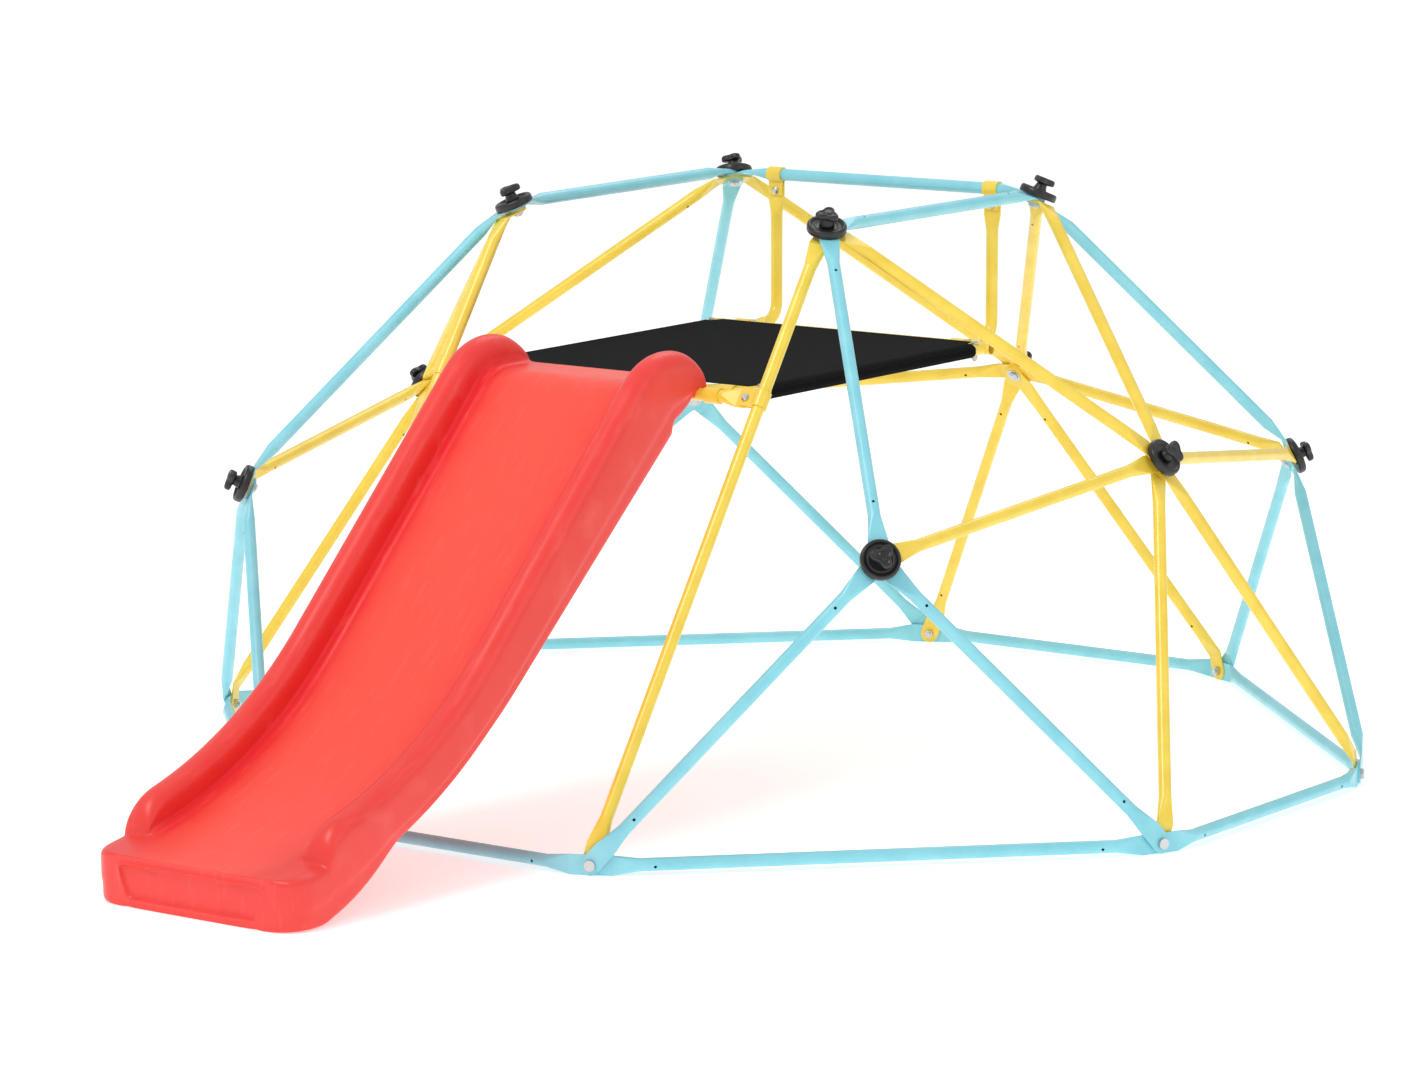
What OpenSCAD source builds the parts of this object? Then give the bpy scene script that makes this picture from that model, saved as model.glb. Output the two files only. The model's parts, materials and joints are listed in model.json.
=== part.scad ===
// Dome climber with a cloth deck and a slide.
// Straight steel tubes with flattened, drilled ends are stacked on one bolt at each joint of the dome.
// +Z is up, the slide leaves towards -Y, and the origin is on the ground under the middle of the whole.

/* [Dome] */
// Distance from the middle of the dome to each of its four straight base sides
base_half = 892; // [840:1:1070]
// Length of each straight base side, joint to joint
base_side = 594; // [500:1:640]
// Side of the square top ring, joint to joint
top_side = 587; // [500:1:640]
// Height of the top joints above the base joints
top_h = 858; // [780:1:1000]
// Distance of a corner joint from each of the dome's two mid planes
corner_out = 593; // [540:1:640]
// Height of the corner joints above the base joints
corner_h = 430; // [370:1:500]
// Distance of a side joint from the dome's axis
side_out = 705; // [640:1:780]
// Height of the side joints above the base joints
side_h = 512; // [440:1:580]

/* [Joint directions] */
// Rise of the top joints' bolts above level
top_rise = 67.5; // [55:0.5:80]
// Rise of the corner joints' bolts above level
corner_rise = 24; // [15:0.5:35]
// Rise of the side joints' bolts above level
side_rise = 35; // [25:0.5:45]

/* [Tubes] */
// Outer diameter of every tube
tube_d = 19; // [16:0.1:23]
// Wall thickness of every tube
wall = 1.2; // [1:0.1:2]
// Distance from a bolt to the end of the flat part of a tube end
tab_len = 32; // [28:1:40]
// Length over which a flat end opens out to the round tube
flare = 38; // [30:1:50]
// Distance from a bolt to the vent hole of a tube
vent_at = 92; // [80:1:120]
// Diameter of the vent holes
vent_d = 4.5; // [3:0.1:6]

/* [Joint hardware] */
// Diameter of the dome's bolts
bolt_d = 8; // [6:1:10]
// Diameter of the black disc under each knob
disc_d = 60; // [48:1:72]
// Height of the disc
disc_h = 12; // [8:1:16]
// Diameter across the lobes of the knob
knob_d = 38; // [30:1:46]
// Height of the knob's stem
stem_h = 13; // [8:1:18]
// Height of the knob's lobed head
knob_h = 10; // [8:1:14]

/* [Entrance and deck] */
// Height of the entrance bar above the base joints
entry_h = 620; // [520:1:700]
// Distance of the deck's side tubes from the mid plane
deck_side_x = 254; // [226:1:270]
// Distance of the hangers from the mid plane
hanger_x = 208; // [180:1:209]
// Distance of the saddles on the entrance bar from the mid plane
saddle_x = 212; // [208:1:212]
// Distance between the entrance bar and the deck's front tube
saddle_pitch = 36; // [30:1:50]
// Distance of the deck's rear tube in front of the hangers
hanger_reach = 94; // [91:1:120]
// Radius of the hangers' bend, at the middle of the tube
bend_r = 30; // [26:1:45]
// Thickness of the deck's cloth
cloth_t = 1.5; // [1:0.1:3]
// Diameter of the clamp bolts
clamp_bolt_d = 6; // [5:0.5:8]
// Thickness of the clamp bands
clamp_t = 2.5; // [2:0.1:3.5]
// Width of the clamp bands along their tube
clamp_w = 26; // [18:1:30]

/* [Slide] */
// Overall width of the slide
slide_w = 376; // [330:1:400]
// Width of the slide's bed between its side walls
bed_w = 282; // [240:1:300]
// Height of the bed above the entrance bar's middle, on the landing
lip_h = 21; // [18:1:30]
// Level length of the landing, ahead of the entrance bar
landing = 58; // [40:1:90]
// Slope of the straight part
slope = 44; // [36:1:50]
// Radius of the bend from the landing into the slope
brow_r = 80; // [50:1:120]
// Radius of the run-out at the bottom
runout_r = 780; // [500:10:900]
// Slope of the foot
foot_slope = 8; // [4:1:12]
// Height of the slide's front end
foot_h = 73; // [60:1:90]
// Length of the foot beyond the run-out
foot_len = 40; // [30:1:60]
// Height of the side walls over the bed
wall_over = 48; // [36:1:60]
// Depth of the side walls under the bed at the top of the slope
under_top = 84; // [60:1:95]
// Depth of the side walls under the bed at the bottom of the slope
under_foot = 36; // [28:1:46]
// Thickness of the moulded plastic
skin = 4; // [3:0.5:5]

/* [Hidden] */
$fn = 48;
fn_hull = 32;
blue = "#8cd9e6";
yellow = "#fadc50";
black = "#1b1b1d";
zinc = "#c9cbcd";
red = "#f04b4b";

// Clearances
play = 0.1;               // between faces that are bolted together
run = 0.05;               // round a bolt, in a knob that turns on it
slack = 0.2;              // round a bolt in its hole, and round a tube in its clamp
rest = 0.3;               // between cloth or plastic and the tube that carries it

// Tubes: a flat end is the whole tube pressed flat, so its size follows from the tube
tube_r = tube_d / 2;
bore_r = tube_r - wall;
tab_t = 2 * wall;
tab_w = PI * tube_d / 2;
pitch = tab_t + play;
end_plug = 2;             // length of the round tube that stays solid beside a flare
sink = 0.12;              // how far a flare starts inside the flat end, and stands out round the tube

// Along each dome bolt, counted outwards from the point where the tubes' axes meet
stack_top = -6.2;
disc_z = stack_top + tab_t / 2 + play;
disc_dish = 3.5;
stem_z = disc_z + disc_h - disc_dish + rest;
knob_z = stem_z + stem_h;
knob_chamfer = 2;
bolt_end = knob_z + knob_h - 5;
washer_t = 1.5;
washer_r = 12;
head_r = bolt_d;
head_h = 5;
nut_r = 0.93 * bolt_d;
nut_h = 6.5;
bolt_tip = 3;             // length of a bolt beyond its nut

ground_h = tab_w / 2;     // the flat ends at the base joints touch the ground
rear_reach = base_half + cos(22.5) * stack_top + sin(22.5) * tab_len + tube_r;

function unit(v) = v / norm(v);
function aim(azimuth, rise) = [cos(rise) * cos(azimuth), cos(rise) * sin(azimuth), sin(rise)];
function turn(p, q) = [
    cos(90 * q) * p.x - sin(90 * q) * p.y,
    sin(90 * q) * p.x + cos(90 * q) * p.y,
    p.z
];
function across(v, axis) = unit(v - (v * axis) * axis);
function at_x(line, x) = line[0] + (line[1] - line[0]) * (x - line[0].x) / (line[1].x - line[0].x);
function at_z(line, z) = line[0] + (line[1] - line[0]) * (z - line[0].z) / (line[1].z - line[0].z);

// Moves children so that their Z lies along z, and their X as near to x as it can
module place(origin, z, x) {
    zz = unit(z);
    xx = across(x, zz);
    yy = cross(zz, xx);
    multmatrix([
        [xx.x, yy.x, zz.x, origin.x],
        [xx.y, yy.y, zz.y, origin.y],
        [xx.z, yy.z, zz.z, origin.z],
        [0, 0, 0, 1]
    ]) children();
}

// Everything is drawn round the dome's axis at the height of the base joints, then seated
module seat() {
    translate([0, dome_y, ground_h]) children();
}

// ---- Joints -------------------------------------------------------------
// Corners are counted anticlockwise: 0 rear right, 1 rear left, 2 front left, 3 front right.
// Sides are 0 right, 1 rear, 2 left and 3 front. The front has no side joint: it is the way in.
// Corner q lies between side q and side q + 1, and its two base joints k are beside those.
corners = ["rear_right", "rear_left", "front_left", "front_right"];
sides = ["right", "rear", "left", "front"];

// A joint is [point, direction of its bolt, number of flat ends on it]
function top_joint(q) = [
    turn([top_side / 2, top_side / 2, top_h], q), aim(45 + 90 * q, top_rise), q < 2 ? 5 : 4
];
function corner_joint(q) = [
    turn([corner_out, corner_out, corner_h], q), aim(45 + 90 * q, corner_rise), q < 2 ? 5 : 4
];
function side_joint(s) = [turn([side_out, 0, side_h], s), aim(90 * s, side_rise), 6];
function base_joint(q, k) = [
    turn(k == 0 ? [base_half, base_side / 2, 0] : [base_side / 2, base_half, 0], q),
    aim(22.5 + 45 * k + 90 * q, 0),
    4
];
knob_joints = concat(
    [for (q = [0 : 3]) top_joint(q)],
    [for (q = [0 : 3]) corner_joint(q)],
    [for (s = [0 : 2]) side_joint(s)]
);
base_joints = [for (q = [0 : 3], k = [0, 1]) base_joint(q, k)];

// ---- Bars: [joint, place in its stack, joint, place in its stack] -------
// Place 0 is next to the disc or the bolt head, and the others follow inwards.
function corner_of(s, k) = (s + 4 - k) % 4;
function top_bar(q) = [top_joint(q), q == 3 ? 1 : 0, top_joint((q + 1) % 4), 1];
function rafter(q) = [top_joint(q), q < 2 ? 4 : 0, corner_joint(q), 0];
function leg(q, k) = [corner_joint(q), (q < 2 ? 3 : 2) + k, base_joint(q, k), 0];
function base_side_bar(s) = [base_joint(s, 0), 1, base_joint(corner_of(s, 1), 1), 1];
function base_corner_bar(q) = [base_joint(q, 0), 2, base_joint(q, 1), 2];
function upper_brace(s, k) = let (q = corner_of(s, k))
    [top_joint(q), q < 2 ? 2 + k : 2, side_joint(s), k];
function cross_brace(s, k) = let (q = corner_of(s, k))
    [corner_joint(q), q < 2 ? 1 + k : 1, side_joint(s), 2 + k];
function lower_brace(s, k) = [side_joint(s), 4 + k, base_joint(corner_of(s, k), k), 3];
function entry_post(q) = [top_joint(q), 3, base_joint(q, 3 - q), 3];

function end_point(joint, place_no) = joint[0] + joint[1] * (stack_top - place_no * pitch);

// The straight line between the ends of the two flat parts, for flat ends at pa and pb
function bend_line(pa, na, pb, nb, tab = tab_len) = [
    pa + across(pb - pa, na) * tab,
    pb + across(pa - pb, nb) * tab
];
function bar_line(b) = bend_line(end_point(b[0], b[1]), b[0][1], end_point(b[2], b[3]), b[2][1]);

// One flat end: drilled tab at p, square to normal, which opens out to a round tube at start
module flat_end(p, normal, along, start, dir, length) {
    place(p, normal, along) {
        cylinder(d = tab_w, h = tab_t, center = true);
        translate([0, -tab_w / 2, -tab_t / 2]) cube([length, tab_w, tab_t]);
    }
    hull() {
        place(p, normal, along)
            translate([length - 2, 0, 0]) cube([2, tab_w - 2 * sink, tab_t - sink], center = true);
        place(start, dir, normal)
            cylinder(r = tube_r + sink, h = end_plug / 2, center = true, $fn = fn_hull);
    }
}

// A straight tube between two drilled flat ends. side is +1 or -1 for vents facing out or in.
module flat_tube(pa, na, pb, nb, hole_d, side, tab = tab_len, taper = flare) {
    line = bend_line(pa, na, pb, nb, tab);
    dir = unit(line[1] - line[0]);
    from = line[0] + dir * taper;
    length = norm(line[1] - line[0]) - 2 * taper;
    out = across(side * (from + dir * length / 2 - [0, 0, corner_h / 2]), dir);
    vent = vent_at - tab - taper;
    difference() {
        union() {
            place(from, dir, out) cylinder(r = tube_r, h = length);
            flat_end(pa, na, across(line[0] - pa, na), from, dir, tab);
            flat_end(pb, nb, across(line[1] - pb, nb), from + dir * length, -dir, tab);
        }
        place(from, dir, out) {
            translate([0, 0, end_plug]) cylinder(r = bore_r, h = length - 2 * end_plug);
            for (z = [vent, length - vent])
                translate([0, 0, z]) rotate([0, 90, 0]) cylinder(d = vent_d, h = tube_d);
        }
        place(pa, na, out) cylinder(d = hole_d, h = 3 * tab_t, center = true);
        place(pb, nb, out) cylinder(d = hole_d, h = 3 * tab_t, center = true);
    }
}

module bar(b, side) {
    flat_tube(
        end_point(b[0], b[1]), b[0][1], end_point(b[2], b[3]), b[2][1],
        bolt_d + 2 * slack, side
    );
}
module blue_bar(b) {
    color(blue) bar(b, 1);
}
module yellow_bar(b) {
    color(yellow) bar(b, -1);
}
module yellow_pair(b0, b1) {
    yellow_bar(b0);
    yellow_bar(b1);
}

// ---- Joint hardware, each in the joint's own frame ----------------------
module at_joint(joint) {
    place(joint[0], joint[1], [0.3, 0.2, -1]) children();
}
function stack_foot(joint) = stack_top - (joint[2] - 1) * pitch - tab_t / 2 - play;

module joint_disc() {
    hole = bolt_d / 2 + slack;
    rim = disc_d / 2;
    top = disc_z + disc_h;
    color(black) rotate_extrude() polygon([
        [hole, disc_z], [rim, disc_z], [rim, top - 4], [rim - 1.5, top - 1], [rim - 3, top],
        [rim - 5, top], [rim - 7, top - disc_dish], [hole, top - disc_dish]
    ]);
}

module lobes(inset) {
    lobe_r = 0.24 * knob_d;
    circle(r = 0.3 * knob_d - inset);
    for (a = [0, 120, 240])
        rotate(a) translate([knob_d / 2 - lobe_r, 0]) circle(r = lobe_r - inset);
}

module knob() {
    foot_r = 0.3 * knob_d;
    neck_r = 0.21 * knob_d;
    color(black) difference() {
        union() {
            translate([0, 0, stem_z]) cylinder(r1 = foot_r, r2 = neck_r, h = stem_h);
            translate([0, 0, knob_z]) linear_extrude(knob_h - knob_chamfer) lobes(0);
            translate([0, 0, knob_z]) linear_extrude(knob_h) lobes(knob_chamfer);
        }
        translate([0, 0, stem_z - 1]) cylinder(d = bolt_d + 2 * run, h = bolt_end + 2 - stem_z);
    }
}

module button_head(r, h) {
    cylinder(r = r, h = h / 2);
    translate([0, 0, h / 2]) cylinder(r1 = r, r2 = 0.6 * r, h = h / 2);
}

module joint_bolt(joint) {
    under = stack_foot(joint) - washer_t - play;
    color(zinc) {
        translate([0, 0, under]) cylinder(d = bolt_d, h = bolt_end - under);
        translate([0, 0, under]) mirror([0, 0, 1]) button_head(head_r, head_h);
    }
}

module joint_washer(joint) {
    color(zinc) translate([0, 0, stack_foot(joint) - washer_t]) difference() {
        cylinder(r = washer_r, h = washer_t);
        translate([0, 0, -1]) cylinder(d = bolt_d + 2 * slack, h = washer_t + 2);
    }
}

module base_bolt(joint) {
    tip = stack_foot(joint) - nut_h - bolt_tip;
    color(zinc) {
        translate([0, 0, tip]) cylinder(d = bolt_d, h = disc_z - tip);
        translate([0, 0, disc_z]) cylinder(r = head_r, h = head_h);
    }
}

module nut(r, h, hole_d) {
    color(zinc) difference() {
        cylinder(r = r, h = h, $fn = 6);
        translate([0, 0, -1]) cylinder(d = hole_d, h = h + 2);
    }
}

// ---- Clamps: a band round a tube, with two ears that grip a flat end ----
clamp_hole = tube_r + tab_w / 2 + 1.5;
clamp_ear = clamp_hole + 8;
ear_z = tab_t / 2 + play + clamp_t;
clamp_bolt_hole = clamp_bolt_d + 2 * slack;
clamp_tab = tab_w / 2 + 2;      // flat length of a tube end that a clamp grips
clamp_flare = 22;
clamp_head_r = clamp_bolt_d;
clamp_head_h = 4;
clamp_nut_h = 5;

// Band round a tube that lies along the local Z, with ears towards the local X
module band_clamp() {
    color(yellow) difference() {
        translate([0, 0, -clamp_w / 2]) linear_extrude(clamp_w) difference() {
            union() {
                circle(r = tube_r + slack + clamp_t);
                translate([0, -ear_z]) square([clamp_ear, 2 * ear_z]);
            }
            circle(r = tube_r + slack);
            translate([0, -tab_t / 2 - play]) square([clamp_ear + 1, tab_t + 2 * play]);
        }
        translate([clamp_hole, 0, 0]) rotate([90, 0, 0])
            cylinder(d = clamp_bolt_hole, h = 4 * ear_z, center = true);
    }
}

// Bolt and nut through a stack that reaches half either side of the local origin, along Z
module clamp_bolt(half) {
    color(zinc) {
        translate([0, 0, -half - clamp_nut_h - bolt_tip])
            cylinder(d = clamp_bolt_d, h = 2 * half + clamp_nut_h + bolt_tip + play);
        translate([0, 0, half + play]) button_head(clamp_head_r, clamp_head_h);
    }
}
module clamp_nut(half) {
    translate([0, 0, -half - play - clamp_nut_h])
        nut(0.92 * clamp_bolt_d, clamp_nut_h, clamp_bolt_d + 2 * run);
}

// ---- Entrance bar, between the two long posts ---------------------------
function post_point(q) = at_z(bar_line(entry_post(q)), entry_h);
function post_dir(q) = unit(bar_line(entry_post(q))[1] - bar_line(entry_post(q))[0]);
function post_inward(q) = across([q == 2 ? 1 : -1, 0, 0], post_dir(q));
function entrance_end(q) = post_point(q) + post_inward(q) * clamp_hole;
entrance_axis = (entrance_end(2) + entrance_end(3)) / 2;
entrance_normal = cross([1, 0, 0], post_dir(2));

module at_post(q) {
    place(post_point(q), post_dir(q), post_inward(q)) children();
}
module entrance_bar() {
    color(yellow) flat_tube(
        entrance_end(2), entrance_normal, entrance_end(3), entrance_normal,
        clamp_bolt_hole, -1, clamp_tab, clamp_flare
    );
}

// ---- Deck frame ---------------------------------------------------------
deck_z = entrance_axis.z;
front_y = entrance_axis.y + saddle_pitch;
hanger_top = at_x(bar_line(top_bar(0)), hanger_x);
rear_y = hanger_top.y - hanger_reach;
deck_end_x = deck_side_x + tube_r + 5;
spigot_r = bore_r - slack;
spigot_len = 46;
corner_bolt_y = 26;       // distance of a corner bolt from its cross tube
sleeve_inset = 38;        // distance of a cloth sleeve's end from a cross tube
saddle_r = tube_r + slack + clamp_t;

// Children at both ends of both side tubes, with +Y towards the middle of the deck
module at_deck_corners() {
    for (x = [-1, 1]) {
        translate([x * deck_side_x, front_y, deck_z]) children();
        translate([x * deck_side_x, rear_y, deck_z]) mirror([0, 1, 0]) children();
    }
}

module cross_tube(y, inward) {
    color(yellow) difference() {
        union() {
            translate([-deck_end_x, y, deck_z]) rotate([0, 90, 0]) cylinder(r = tube_r, h = 2 * deck_end_x);
            for (x = [-1, 1])
                translate([x * deck_side_x, y, deck_z]) rotate([-90 * inward, 0, 0])
                    cylinder(r = spigot_r, h = spigot_len);
        }
        translate([-deck_end_x - 1, y, deck_z]) rotate([0, 90, 0])
            cylinder(r = bore_r, h = 2 * deck_end_x + 2);
        for (x = [-1, 1])
            translate([x * deck_side_x, y + inward * corner_bolt_y, deck_z])
                cylinder(d = clamp_bolt_hole, h = 2 * tube_d, center = true);
    }
}

module deck_side_tube(x) {
    color(yellow) difference() {
        translate([x, front_y, deck_z]) rotate([-90, 0, 0]) cylinder(r = tube_r, h = rear_y - front_y);
        translate([x, front_y - 1, deck_z]) rotate([-90, 0, 0])
            cylinder(r = bore_r, h = rear_y - front_y + 2);
        for (y = [front_y, rear_y])
            translate([x - tube_d, y, deck_z]) rotate([0, 90, 0]) cylinder(r = tube_r + play, h = 2 * tube_d);
        for (y = [front_y + corner_bolt_y, rear_y - corner_bolt_y])
            translate([x, y, deck_z]) cylinder(d = clamp_bolt_hole, h = 2 * tube_d, center = true);
    }
}

// Strap round the entrance bar and the deck's front tube, bolted between them
module deck_saddle(x) {
    color(yellow) difference() {
        place([x - clamp_w / 2, entrance_axis.y, deck_z], [1, 0, 0], [0, 1, 0])
            linear_extrude(clamp_w) difference() {
                union() {
                    for (y = [0, saddle_pitch]) translate([y, 0]) circle(r = saddle_r);
                    translate([0, -ear_z]) square([saddle_pitch, 2 * ear_z]);
                }
                for (y = [0, saddle_pitch]) translate([y, 0]) circle(r = tube_r + slack);
                translate([0, -play]) square([saddle_pitch, 2 * play]);
            }
        translate([x, entrance_axis.y + saddle_pitch / 2, deck_z])
            cylinder(d = clamp_bolt_hole, h = 4 * ear_z, center = true);
    }
}

// ---- Cloth deck: one sheet with a sleeve sewn along each side -----------
cloth_in = tube_r + rest;
cloth_out = cloth_in + cloth_t;
module cloth_profile() {
    difference() {
        union() {
            for (x = [-1, 1]) translate([x * deck_side_x, 0]) circle(r = cloth_out);
            translate([-deck_side_x, cloth_in]) square([2 * deck_side_x, cloth_t]);
        }
        for (x = [-1, 1]) translate([x * deck_side_x, 0]) circle(r = cloth_in);
    }
}
module deck_cloth() {
    sleeve_from = front_y + sleeve_inset;
    sheet_from = front_y + saddle_r + 1;
    sheet_to = rear_y - saddle_r - 1;
    sheet_x = deck_side_x - cloth_out - 2;
    color(black) {
        place([0, sleeve_from, deck_z], [0, 1, 0], [-1, 0, 0])
            linear_extrude(rear_y - sleeve_inset - sleeve_from) cloth_profile();
        translate([-sheet_x, sheet_from, deck_z + cloth_in])
            cube([2 * sheet_x, sheet_to - sheet_from, cloth_t]);
    }
}

// ---- Hangers: from the rear top bar down, and forward to the deck's rear tube ----
// Drawn from the middle of the rear tube.
foot_tab = 12;            // flat length at a hanger's foot
foot_flare = 18;
bend_steps = 8;
function hanger_eye(x) = at_x(bar_line(top_bar(0)), x) - [0, 0, clamp_hole];
module hanger(x) {
    eye = hanger_eye(x) - [x, rear_y, deck_z];
    foot = [0, clamp_hole, 0];
    top = eye.z - clamp_tab - clamp_flare;
    level_from = foot.y + foot_tab + foot_flare;
    color(yellow) translate([x, rear_y, deck_z]) difference() {
        union() {
            flat_end(eye, [0, 1, 0], [0, 0, -1], [0, eye.y, top], [0, 0, -1], clamp_tab);
            hanger_run(eye.y, top, level_from, tube_r);
            flat_end(foot, [0, 0, 1], [0, 1, 0], [0, level_from, 0], [0, 1, 0], foot_tab);
        }
        hanger_run(eye.y, top - end_plug, level_from + end_plug, bore_r);
        translate([0, eye.y - vent_d, top / 2]) rotate([-90, 0, 0]) cylinder(d = vent_d, h = tube_d);
        translate(eye) rotate([90, 0, 0]) cylinder(d = clamp_bolt_hole, h = 3 * tab_t, center = true);
        translate(foot) cylinder(d = clamp_bolt_hole, h = 3 * tab_t, center = true);
    }
}

// A tube of many sides: level, then round the bend, then up to top
module hanger_run(reach, top, level_from, r) {
    ring = [for (a = [0 : 360 / fn_hull : 359]) [r * cos(a), r * sin(a)]];
    stops = concat(
        [[level_from, 0, 0]],
        [for (b = [0 : 90 / bend_steps : 90])
            [reach - bend_r + bend_r * sin(b), bend_r - bend_r * cos(b), b]],
        [[reach, top, 90]]
    );
    points = [for (s = stops, p = ring) [p.x, s[0] - p.y * sin(s[2]), s[1] + p.y * cos(s[2])]];
    n = len(ring);
    last = n * (len(stops) - 1);
    polyhedron(points, concat(
        [for (i = [0 : len(stops) - 2], j = [0 : n - 1])
            [n * i + j, n * i + (j + 1) % n, n * (i + 1) + (j + 1) % n, n * (i + 1) + j]],
        [[for (j = [n - 1 : -1 : 0]) j], [for (j = [0 : n - 1]) last + j]]
    ));
}

// ---- All the clamp bolts and nuts, each child drawn along its own bolt ----
module at_clamps() {
    for (q = [2, 3])
        at_post(q) translate([clamp_hole, 0, 0]) rotate([q == 2 ? -90 : 90, 0, 0]) children();
    for (x = [-hanger_x, hanger_x]) {
        translate(hanger_eye(x)) rotate([90, 0, 0]) children();
        translate([x, rear_y + clamp_hole, deck_z]) children();
    }
}
module clamp_bolts() {
    at_clamps() clamp_bolt(ear_z);
    for (x = [-saddle_x, saddle_x])
        translate([x, entrance_axis.y + saddle_pitch / 2, deck_z]) clamp_bolt(ear_z);
    at_deck_corners() translate([0, corner_bolt_y, 0]) clamp_bolt(tube_r);
    at_keepers() for (y = keeper_screws) translate([0, y, keeper_z]) mirror([0, 0, 1]) keeper_screw();
}
module clamp_nuts() {
    at_clamps() clamp_nut(ear_z);
    for (x = [-saddle_x, saddle_x])
        translate([x, entrance_axis.y + saddle_pitch / 2, deck_z]) clamp_nut(ear_z);
    at_deck_corners() translate([0, corner_bolt_y, 0]) clamp_nut(tube_r);
}

// ---- Slide, drawn in (Y, Z) from the middle of the entrance bar ---------
lip_back = 15;            // the lip ends this far behind the middle of the entrance bar
jaw = 18;                 // and its front jaw reaches this far ahead of it
jaw_z = -6;
seat_r = tube_r + rest;
wall_w = (slide_w - bed_w) / 2;
ground_z = -entrance_axis.z - ground_h;
arc_steps = 8;
runout_steps = 14;
nose = 75;                // length of the foot ahead of the side walls
dome_len = 70;            // length over which a side wall rises at the top
nose_len = 60;            // and falls at the bottom
foot_flat = 60;           // length of the foot that rests on the ground
foot_rise = 150;          // length over which the underside then rises from it

function ahead(a) = [-cos(a), -sin(a)];
function above(a) = [-sin(a), cos(a)];
brow_mid = [-landing, lip_h - brow_r];
brow_end = brow_mid + brow_r * above(slope);
runout_drop = runout_r * (cos(foot_slope) - cos(slope));
straight = (brow_end.y - runout_drop - foot_len * sin(foot_slope) - foot_h - ground_z) / sin(slope);
straight_end = brow_end + straight * ahead(slope);
runout_mid = straight_end + runout_r * above(slope);
runout_end = runout_mid - runout_r * above(foot_slope);
tip = runout_end + foot_len * ahead(foot_slope);
front_reach = -entrance_axis.y - tip.x;
dome_y = (front_reach - rear_reach) / 2;

// The bed as [point, slope], from the back of the lip to the tip
bed_path = concat(
    [for (i = [0 : 5]) [[lip_back - i / 6 * (lip_back + landing), lip_h], 0]],
    [for (i = [0 : arc_steps]) let (a = slope * i / arc_steps) [brow_mid + brow_r * above(a), a]],
    [for (i = [1 : 7]) [brow_end + straight * i / 8 * ahead(slope), slope]],
    [for (i = [0 : runout_steps])
        let (a = slope + (foot_slope - slope) * i / runout_steps)
        [runout_mid - runout_r * above(a), a]],
    [[tip, foot_slope]]
);
bed_end = len(bed_path) - 1;
function offset_path(d) = [for (p = bed_path) p[0] + d * above(p[1])];
function back_to_front(list) = [for (i = [len(list) - 1 : -1 : 0]) list[i]];

// Height of a side wall over the bed: a quarter circle up at the lip, level, and one down at the nose
function round_up(t) = t <= 0 ? 0 : t >= 1 ? 1 : sqrt(1 - (1 - t) * (1 - t));
function wall_height(p) = wall_over
    * round_up((lip_back - p.x) / dome_len)
    * round_up((p.x - tip.x - nose) / nose_len);
// Depth of a side wall under the bed, which narrows down the slope and then meets the ground
function under_mix(p) = min(1, max(0, -p.x / (landing - straight_end.x)));
function under_depth(p) = under_top + (under_foot - under_top) * under_mix(p);
function lifted(p) = max(0, min(1, (p.x - tip.x - foot_flat) / foot_rise));
function under_point(p) = let (q = p[0] - under_depth(p[0]) * above(p[1]))
    [q.x, max(ground_z, ground_z + (q.y - ground_z) * lifted(p[0]))];

// Side wall outline, drawn in by inset, and open below where inset is more than 0
function crest(inset) = [for (p = bed_path)
    p[0] + (wall_height(p[0]) - inset) * above(p[1])
];
function underside(inset) = [for (i = [6 : bed_end])
    under_point(bed_path[i]) - [0, inset > 0 ? 2 * skin : 0]
];

module across_slide(w, x = 0) {
    place([x - w / 2, entrance_axis.y, entrance_axis.z], [1, 0, 0], [0, 1, 0])
        linear_extrude(w) children();
}
module bar_notch() {
    circle(r = seat_r);
    translate([-seat_r, jaw_z * 10]) square([2 * seat_r, -jaw_z * 10]);
}
module wall_outline() {
    polygon(concat(
        crest(0),
        [[tip.x, ground_z]],
        back_to_front(underside(0)),
        [[-jaw, jaw_z], [lip_back, jaw_z]]
    ));
}
module wall_cavity() {
    intersection() {
        polygon(concat(crest(skin), back_to_front(underside(skin))));
        translate([tip.x + skin, ground_z - 3 * skin]) square([-jaw - skin - tip.x, 2000]);
    }
}
module slide_wall(x) {
    difference() {
        across_slide(wall_w, x) difference() {
            wall_outline();
            bar_notch();
        }
        across_slide(wall_w - 2 * skin, x) wall_cavity();
    }
}
module slide_bed() {
    across_slide(bed_w + 2) {
        polygon(concat(offset_path(0), back_to_front(offset_path(-skin))));
        translate([tip.x, ground_z]) square([skin, foot_h - skin]);
    }
    across_slide(bed_w + 2) difference() {
        translate([-jaw, jaw_z]) square([jaw + lip_back, lip_h - jaw_z]);
        bar_notch();
    }
}
module slide() {
    color(red) difference() {
        union() {
            slide_bed();
            for (x = [-1, 1]) slide_wall(x * (slide_w - wall_w) / 2);
        }
        at_keepers() for (y = keeper_screws)
            translate([0, y, jaw_z - 1]) cylinder(d = screw_d + 2 * run, h = screw_len);
    }
}

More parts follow.
